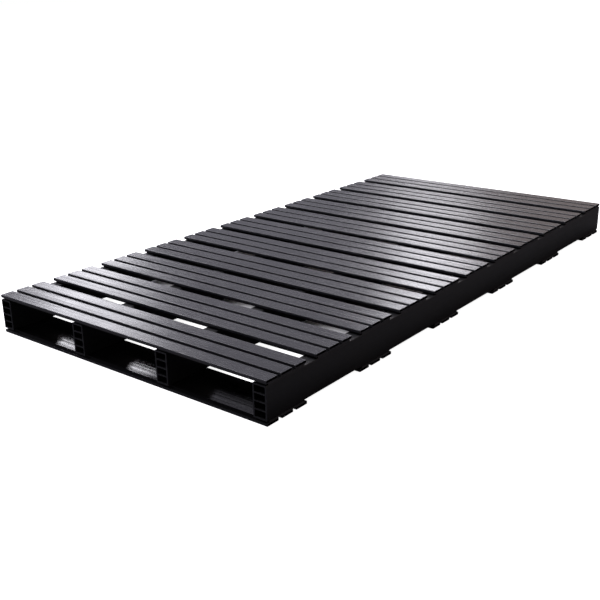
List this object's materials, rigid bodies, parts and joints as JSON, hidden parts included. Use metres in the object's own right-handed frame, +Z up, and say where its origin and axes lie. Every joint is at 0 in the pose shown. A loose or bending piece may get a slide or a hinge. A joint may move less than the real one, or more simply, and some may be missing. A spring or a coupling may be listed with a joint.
{
  "type": "plastic pallet",
  "caption": "Long stringer pallet of extruded black plastic profiles, with grooved hollow deck boards on top and underneath and open fork tunnels at both ends.",
  "frame": {"origin": "centre of the footprint, on the floor", "axes": "+X along the pallet's length, which is the way the forks go in, +Y across its width to the left side, +Z up"},
  "size_m": [2.438, 1.219, 0.14],
  "materials": {
    "board_plastic": "extruded satin black",
    "stringer_plastic": "extruded satin black"
  },
  "bodies": {
    "root": {"top_board_01": "board_plastic", "top_board_02": "board_plastic", "top_board_03": "board_plastic", "top_board_04": "board_plastic", "top_board_05": "board_plastic", "top_board_06": "board_plastic", "top_board_07": "board_plastic", "top_board_08": "board_plastic", "top_board_09": "board_plastic", "top_board_10": "board_plastic", "top_board_11": "board_plastic", "bottom_board_1": "board_plastic", "bottom_board_2": "board_plastic", "bottom_board_3": "board_plastic", "bottom_board_4": "board_plastic", "bottom_board_5": "board_plastic", "bottom_board_6": "board_plastic", "stringer_right_outer": "stringer_plastic", "stringer_right_inner": "stringer_plastic", "stringer_left_inner": "stringer_plastic", "stringer_left_outer": "stringer_plastic"}
  },
  "joints": []
}
